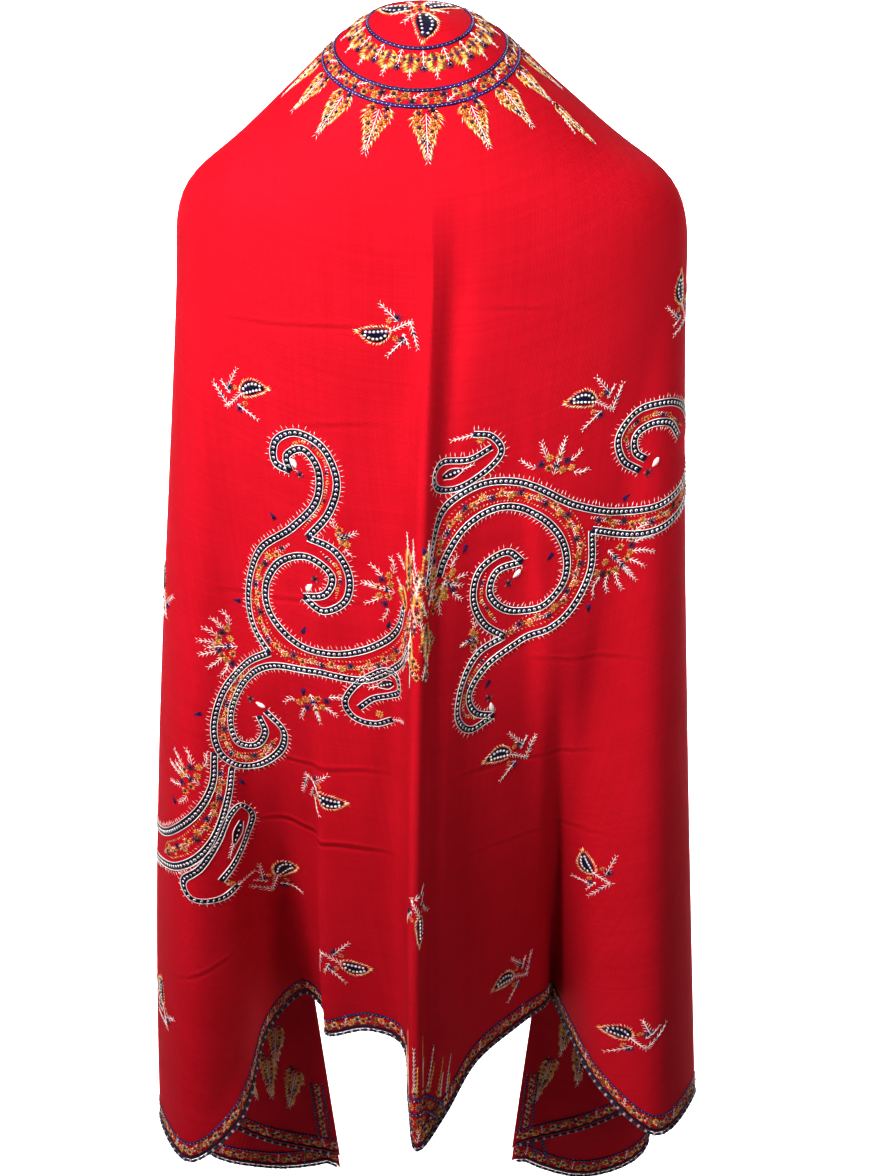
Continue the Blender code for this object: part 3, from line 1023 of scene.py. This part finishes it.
for name in ("disc", "innerBand", "outerBand"):
    roundCord("crown", medallion[name])
centre = spot("crown", (0, 0))
for k in range(3):
    turn = 120 * k - 90
    cone(spot("crown", ray(turn) * 0.0055, turn), 0.032, 0.0165)
    for offset in (36, 84):
        way = ray(turn + offset)
        fern(centre, way * 0.008, way * 0.021, 0.0050)
    floret(spot("crown", ray(turn + 60) * 0.010), (0, 0), 0.0040, 9, "gold", "plum", "rust")
floret(centre, (0, 0), 0.0060, 12, "gold", "plum", "rust")
for k in range(medallion["florets"]):
    turn = 360 * (k + 0.5) / medallion["florets"] - 90
    way = ray(turn)
    budLeaf(centre, way * (medallion["disc"] + 0.0035), turn + rng.uniform(-6, 6), *medallion["petal"])
    for side in (1, -1):
        place = way * (medallion["disc"] + 0.010) + np.array([-way[1], way[0]]) * side * 0.0052
        floret(centre, place, 0.0046, 10, ("gold", "rust")[k % 2], "plum", "leaf")
    way = ray(turn + 180 / medallion["florets"])
    floret(centre, way * (medallion["disc"] + 0.0175), 0.0040, 9, "plum", "indigo", "violet")
    fern(centre, way * (medallion["disc"] + 0.002), way * (medallion["disc"] + 0.0150), 0.0048)
ringColours = (("gold", "rust"), ("plum", "indigo"), None, ("gold", "plum"), ("rust", "plum"))
for k in range(medallion["ring"]):
    turn = 360 * k / medallion["ring"]
    middle = (medallion["innerBand"] + medallion["outerBand"]) / 2 + 0.0022 * (-1) ** k
    put = spot("crown", ray(turn) * (middle + rng.uniform(-0.0006, 0.0006)), turn + 90)
    if k % 5 == 2:
        fern(put, (-0.0045, -0.002), (0.0045, 0.003), 0.0038)
    else:
        floret(put, (0.0, 0.0), 0.0045, 10, *ringColours[k % 5], "leaf")
for k in range(medallion["leaves"]):
    turn = 360 * k / medallion["leaves"]
    put = spot("crown", ray(turn - 90) * medallion["leafFrom"], turn - 180)
    length = medallion["leafLong"] * rng.uniform(0.94, 1.05)
    longLeaf(put, length, medallion["leafWide"] * rng.uniform(0.92, 1.05))
# the two leaves over the shoulders run on in a branch
for turn in (67.5, 247.5):
    put = spot("crown", ray(turn - 90) * 0.139, turn - 180)
    longLeaf(put, 0.042, 0.012)
    fern(put, (0.006, 0.010), (0.014, 0.026), 0.0050)
print("medallion planned")

# a part of the medallion, with fronds round it, at the ridges' tips and the front corners
cornerFan = {"radii": (0.036, 0.050), "rings": (0.043, 0.028, 0.019), "floret": 0.0050, "gap": 0.0086,
             "fronds": 9, "frondLong": 0.050}
fanColours = (("gold", "plum"), ("rust", "plum"), ("gold", "rust"), ("leaf", "plum"))


def fan(placer, at, aim, reach):
    at, half = np.array(at), reach / 2 - 4
    for radius in cornerFan["radii"]:
        roundCord(placer, radius, at, 180 + aim - reach / 2, 180 + aim + reach / 2)
    for ring in cornerFan["rings"]:
        count = max(2, int(2 * math.radians(half) * ring / cornerFan["gap"]))
        for k in range(count + 1):
            put = spot(placer, at + ray(90 - aim + half * (2 * k / count - 1)) * ring)
            floret(put, (0, 0), cornerFan["floret"], 10, *fanColours[k % 4], "leaf")
    for k in range(cornerFan["fronds"]):
        turn = reach * (0.5 - k / (cornerFan["fronds"] - 1)) * 0.92
        put = spot(placer, at + ray(90 - aim + turn) * (cornerFan["radii"][1] + 0.003), 0.35 * turn - aim)
        length = cornerFan["frondLong"] * rng.uniform(0.6, 1.15)
        fern(put, (0.0, 0.0), (0.0, length), 0.0034, ("white", "gold")[k % 2])
        fern(put, (0.0026, 0.0), (0.0038, length * 0.6), 0.0030, ("gold", "white")[k % 2])
        floret(put, (0.0, 0.005), 0.0046, 9, "gold", "plum", "rust")


for side, middle in (("front", ridgeAt), ("back", backRidgeAt)):
    fan(side, (0.0, clothRows[-1, middle, 2]), 0.0, 140)
hemFront = hemArcs[seam - 1]
# by the front corners: a fan outside, and inside it leaves that hang down and a border up the long edge
innerLeaves = ((0.030, 0.098, 196), (0.062, 0.108, 180), (0.094, 0.098, 164), (0.046, 0.150, 188))
for place, side in ((0.006, 1), (hemFront - 0.006, -1)):
    fan("hem", (place, 0.004), 45 * side, 76)
    for away, up, turn in innerLeaves:
        longLeaf(spot("hemInside", (place + side * away, up), turn), 0.046, 0.018)
    put = spot("hemInside", (place, 0.0))
    for away in (0.003, 0.016):
        tiedLine(put, [(side * away, up) for up in np.arange(0.018, 0.088, 0.004)], 0.0022)
    for k, up in enumerate(np.arange(0.022, 0.086, 0.0066)):
        floret(put, (side * 0.0095, up), 0.0042, 9, ("gold", "rust")[k % 2], "plum", "white")

hemBorder = {"inner": 0.0170, "middle": 0.0095, "gap": 0.0060}
borderColours = (("gold", "plum"), ("rust", "plum"), None, ("gold", "rust"), ("leaf", "plum"))
for placer in ("hem", "hemInside"):
    for first, last in ((0.0, hemFront), (hemFront, hemArcs[-1]))[:1 if placer == "hemInside" else 2]:
        along = np.arange(first + 0.003, last - 0.002, 0.0040)
        put = spot(placer, (0.0, 0.0))
        tiedLine(put, np.column_stack([along, np.full(len(along), hemBorder["inner"])]), 0.0024)
        lay(put, "indigo", np.column_stack([along, np.full(len(along), 0.0024)]), 0.0030, 0.0006)
        for k, x in enumerate(np.arange(first + 0.006, last - 0.005, hemBorder["gap"])):
            put = spot(placer, (x, hemBorder["middle"] + 0.0014 * (-1) ** k))
            if k % 5 == 2:
                fern(put, (-0.001, -0.005), (0.001, 0.0055), 0.0040, ("white", "leaf")[k % 2])
            else:
                floret(put, (0.0, 0.0), 0.0046, 10, *borderColours[k % 5], ("white", "gold")[k % 2])
print("hem border planned")


clear = 0.0001       # from the cloth to the foot of a stitch
stitchFaces = [(0, 2, 3), (0, 3, 1), (2, 4, 3), (3, 4, 1), (0, 1, 2), (1, 4, 2)]
knotFaces = [(0, 1 + k, 1 + (k + 1) % 6) for k in range(6)] + [(1, 3, 2), (1, 4, 3), (1, 5, 4), (1, 6, 5)]


def acrossPath(flat):
    # a flat path's sideways directions
    steps = np.gradient(flat, axis=0)
    return unit(np.column_stack([-steps[:, 1], steps[:, 0]]))


def manyOf(rows, pattern, makePoints):
    # points and faces of many small things of one pattern, those of each placer together
    points, faces, total = [], [], 0
    for name in placers:
        own = np.array([row[1:] for row in rows if row[0] == name], float)
        if len(own):
            made = makePoints(placers[name], own)
            starts = total + made.shape[1] * np.arange(len(made))
            faces.append((starts[:, None, None] + np.array(pattern)[None]).reshape(-1, 3))
            points.append(made.reshape(-1, 3))
            total += made.shape[0] * made.shape[1]
    return points, faces


def stitchPoints(placer, own):
    # a stitch is a pointed sliver, raised in the middle
    a, b, width, lift = own[:, 0:2], own[:, 2:4], own[:, 4:5], own[:, 5:6]
    (start, _, insideA), (end, _, insideB) = placer(a), placer(b)
    middle, normal, _ = placer((a + b) / 2)
    side = unit(np.cross(normal, end - start)) * width / 2
    made = np.stack([start, middle + side, middle - side, middle + normal * lift, end], axis=1)
    return (made + normal[:, None] * clear)[insideA & insideB]


def knotPoints(placer, own):
    # a knot is a low six-sided dome with a closed foot
    place, normal, inside = placer(own[:, :2])
    radius, raised = own[:, 2:3], own[:, 3:4]
    across = unit(np.cross(normal, [0.31, 0.17, 0.94]))
    upward = np.cross(normal, across)
    made, foot = [place + normal * (radius * 0.55 + 0.0006 + raised)], normal * (0.0004 + raised)
    for t in np.arange(6) * math.pi / 3:
        made.append(place + radius * (across * math.cos(t) + upward * math.sin(t)) + foot)
    return np.stack(made, axis=1)[inside]


def ribbonMesh(rows):
    # a ribbon has a low domed section of four points, closed at both ends
    points, faces, total = [], [], 0
    for name in placers:
        own = [row for row in rows if row[0] == name]
        if not own:
            continue
        centre = np.concatenate([row[1] for row in own])
        aside = np.concatenate([acrossPath(row[1]) for row in own])
        width = np.concatenate([np.broadcast_to(row[2], len(row[1])) for row in own])[:, None]
        lift = np.concatenate([np.full(len(row[1]), row[3]) for row in own])[:, None]
        inside = placers[name](centre)[2]
        sections = []
        for share, rise in ((-0.5, 0.0), (-0.28, 1.0), (0.28, 1.0), (0.5, 0.0)):
            place, normal, _ = placers[name](centre + aside * width * share)
            sections.append(place + normal * (lift * rise + clear))
        sections, start = np.stack(sections, axis=1), 0
        for row in own:
            n = len(row[1])
            here = inside[start:start + n]
            for run in np.split(np.arange(n), np.where(~here)[0]):
                run = run[here[run]]
                if len(run) > 1:
                    ids = total + np.arange(len(run) * 4).reshape(-1, 4)
                    after = np.roll(ids, -1, axis=1)
                    faces.append(np.stack([ids[:-1], ids[1:], after[1:], after[:-1]], axis=2).reshape(-1, 4))
                    faces.append(np.stack([ids[0], ids[-1][::-1]]))
                    points.append(sections[start + run].reshape(-1, 3))
                    total += len(run) * 4
            start += n
    return points, faces


def sewnPiece(name, colour):
    # all the work in one colour of thread, as one piece
    sets, points, total = [], [], 0
    for own, faces in (manyOf(stitches[colour], stitchFaces, stitchPoints),
                       manyOf(knots[colour], knotFaces, knotPoints), ribbonMesh(ribbons[colour])):
        if own:
            sets.append(np.concatenate(faces) + total)
            points += own
            total += sum(len(p) for p in own)
    data = meshFrom(name, np.concatenate(points), *sets)
    print(name, "has", sum(len(faces) * (faces.shape[1] - 2) for faces in sets), "triangles")
    return finish(link(name, data))


threadGroup, place, end = nodeGroup("embroideryThread", "Place", ("Shade", "Twist"))
fill(end, Shade=noise(place, 75.0, 3.0, 0.7), Twist=noise(place, 2600.0, 2.0, 0.6))
dyes = {
    "indigo": ((0.003, 0.002, 0.014, 1), (0.014, 0.010, 0.060, 1)),
    "violet": ((0.008, 0.004, 0.045, 1), (0.040, 0.018, 0.20, 1)),
    "white": ((0.82, 0.74, 0.70, 1), (1.0, 0.98, 0.95, 1)),
    "gold": ((0.78, 0.36, 0.06, 1), (1.0, 0.70, 0.22, 1)),
    "rust": ((0.50, 0.09, 0.02, 1), (0.85, 0.28, 0.05, 1)),
    "plum": ((0.060, 0.010, 0.070, 1), (0.20, 0.045, 0.20, 1)),
    "leaf": ((0.20, 0.20, 0.06, 1), (0.55, 0.52, 0.20, 1)),
}


def silkThread(colour):
    made, tree, shader = principled(colour + "Thread", Sheen_Weight=0.08, Sheen_Roughness=0.3,
                                    Specular_IOR_Level=0.3)
    own = given(threadGroup, objectPlace(tree))
    fill(shader, Base_Color=ramp(own["Shade"], *dyes[colour], 0.34, 0.66),
         Roughness=own["Twist"] * 0.25 + 0.35)
    relief(shader, own["Twist"], 0.00012)
    return made


for colour in colours:
    piece = sewnPiece(colour + "Embroidery", colour)
    piece.data.materials.append(silkThread(colour))
print("embroidery sewn")


# the couched cord below each short edge
edgeCord = {"radius": 0.0013, "drop": 0.0019, "twist": 0.011, "bulge": 0.16, "step": 0.0018, "sides": 10,
            "end": 0.006, "tieGap": 0.0085}


def squareTo(along, vectors):
    return unit(vectors - along * np.sum(vectors * along, axis=1, keepdims=True))


def makeEdgeCord(name, first, last, replaced):
    hem = clothRows[-1, first:last + 1]
    out = squareTo(unit(np.gradient(hem, axis=0)), hem - clothRows[-4, first:last + 1])
    route = hem + out * edgeCord["drop"]
    arcs = lengthsAlong(route)
    length = arcs[-1] - 2 * edgeCord["end"]
    wanted = np.linspace(edgeCord["end"], arcs[-1] - edgeCord["end"], int(length / edgeCord["step"]))
    at = readAt(wanted, arcs, route)
    along = unit(np.gradient(at, axis=0))
    out = squareTo(along, readAt(wanted, arcs, out))
    side = np.cross(along, out)
    sides = edgeCord["sides"]
    around = np.arange(sides) * 2 * np.pi / sides
    phase = 2 * np.pi * wanted / edgeCord["twist"]
    tie = np.exp(-(((wanted / edgeCord["tieGap"]) % 1.0 - 0.5) / 0.09) ** 2)
    radius = edgeCord["radius"] * (1 + edgeCord["bulge"] * np.cos(2 * (around[None, :] - phase[:, None])))
    radius = radius * (1 + 0.22 * tie[:, None])
    radius[[0, -1]] *= 0.35
    rings = at[:, None] + radius[:, :, None] * (out[:, None] * np.cos(around)[None, :, None]
                                                + side[:, None] * np.sin(around)[None, :, None])
    count = len(at)
    ids = np.arange(count * sides).reshape(count, sides)
    after = np.roll(ids, -1, axis=1)
    quads = np.stack([ids[:-1], after[:-1], after[1:], ids[1:]], axis=2).reshape(-1, 4)
    data = meshFrom(name, rings.reshape(-1, 3), quads, ids[0][None, ::-1], ids[-1][None, :])
    ringAt = np.repeat(np.arange(count), sides).reshape(count, sides)
    turnAt = np.tile(np.arange(sides), count).reshape(count, sides)
    uvs = [np.stack([wanted[ringAt[:-1]], turnAt[:-1] / sides], axis=2),
           np.stack([wanted[ringAt[:-1]], (turnAt[:-1] + 1) / sides], axis=2),
           np.stack([wanted[ringAt[1:]], (turnAt[1:] + 1) / sides], axis=2),
           np.stack([wanted[ringAt[1:]], turnAt[1:] / sides], axis=2)]
    caps = np.tile([wanted[0], 0.5], (sides, 1)), np.tile([wanted[-1], 0.5], (sides, 1))
    giveUv(data, "cordMetres", np.concatenate([np.stack(uvs, axis=2).reshape(-1, 2), *caps]))
    piece = finish(link(name, data))
    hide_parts(replaced)
    return piece


def tiedCord():
    made, tree, shader = principled("tiedCord", Specular_IOR_Level=0.3, Sheen_Weight=0.2)
    along, around = axes(uvPlace(tree, "cordMetres"), "X", "Y")
    place = maths("FRACT", along / edgeCord["tieGap"])
    tie = maths("LESS_THAN", maths("ABSOLUTE", place - 0.5), 0.14)
    ply = maths("SINE", around * (12 * math.pi) - along * (12 * math.pi / edgeCord["twist"]))
    grain = noise(objectPlace(tree), 900.0)
    strand = ramp(ply, (0.010, 0.008, 0.045, 1), (0.030, 0.022, 0.11, 1))
    white = ramp(grain, (0.45, 0.36, 0.33, 1), (0.80, 0.74, 0.70, 1))
    colour = node(tree, "Mix", data_type="RGBA")
    for socket, value in ((0, tie), (6, strand), (7, white)):
        feed(colour.inputs[socket], value)
    fill(shader, Base_Color=colour.outputs[2], Roughness=grain * 0.2 + 0.45)
    relief(shader, ply + grain, 0.0002)
    return made


cordFinish = tiedCord()
cords = [makeEdgeCord("frontEdgeCord", 0, seam - 1, "front_edge_cord"),
         makeEdgeCord("backEdgeCord", seam, lastColumn, "back_edge_cord")]
for piece in cords:
    piece.data.materials.append(cordFinish)
print("edge cords made")

# floor and light
studio = {
    "floor": -1.42, "world": (0.92, 0.94, 1.0, 1), "worldStrength": 0.022, "backdrop": 0.75,
    "lights": {   # place, aim, size, power, colour, spread in degrees
        "key": ((-0.98, -1.00, 0.74), (0, -0.1, -0.40), 0.6, 14.5, (1.0, 0.98, 0.98), 90),
        "fill": ((0.90, -1.45, 0.60), (0.17, -0.05, -0.26), 0.4, 2.0, (1.0, 0.98, 0.98), 50),
        "rear": ((0.9, 2.2, 1.2), (0, 0, -0.5), 1.4, 40, (1, 1, 1), 180),
        "floor": ((0.0, 5.0, 2.6), (0, 5.0, -1.4), 8.0, 950, (1, 1, 1), 60),
    },
}
bpy.ops.object.select_all(action="DESELECT")
bpy.ops.mesh.primitive_plane_add(size=30, location=(0, 6, studio["floor"]))
floor = bpy.context.object
floor.name = "studioFloor"
floorFinish, tree, shader = principled("paleFloor", Roughness=0.8, Emission_Color=studio["world"])
toEye = Amount(node(tree, "LightPath").outputs["Is Camera Ray"])    # pale to the eye, no light into the folds
dust = ramp(noise(objectPlace(tree), 1.5, 4.0), (0.76, 0.76, 0.76, 1), (0.84, 0.84, 0.84, 1))
fill(shader, Base_Color=dust, Emission_Strength=toEye * studio["backdrop"])
floor.data.materials.append(floorFinish)
for name, (place, aim, size, power, colour, spread) in studio["lights"].items():
    data = bpy.data.lights.new(name + "Light", "AREA")
    data.size, data.energy, data.color = size, power, colour
    data.spread = math.radians(spread)
    lamp = link(name + "Light", data)
    lamp.location = place
    lamp.rotation_euler = (Vector(aim) - Vector(place)).to_track_quat("-Z", "Y").to_euler()
world = bpy.data.worlds.new("studioWorld")
world.use_nodes = True
sky = world.node_tree
dim = fill(sky.nodes["Background"], Color=studio["world"], Strength=studio["worldStrength"])
pale = node(sky, "Background", Color=studio["world"], Strength=studio["backdrop"])
either = node(sky, "MixShader")
for socket, value in zip(either.inputs, (node(sky, "LightPath").outputs["Is Camera Ray"], dim.outputs[0],
                                         pale.outputs[0])):
    feed(socket, value)
fill(sky.nodes["World Output"], Surface=either.outputs[0])
bpy.context.scene.world = world
bpy.context.scene.view_settings.view_transform = "Standard"
bpy.context.scene.view_settings.gamma = 0.8      # deeper folds
print("floor and lights set")
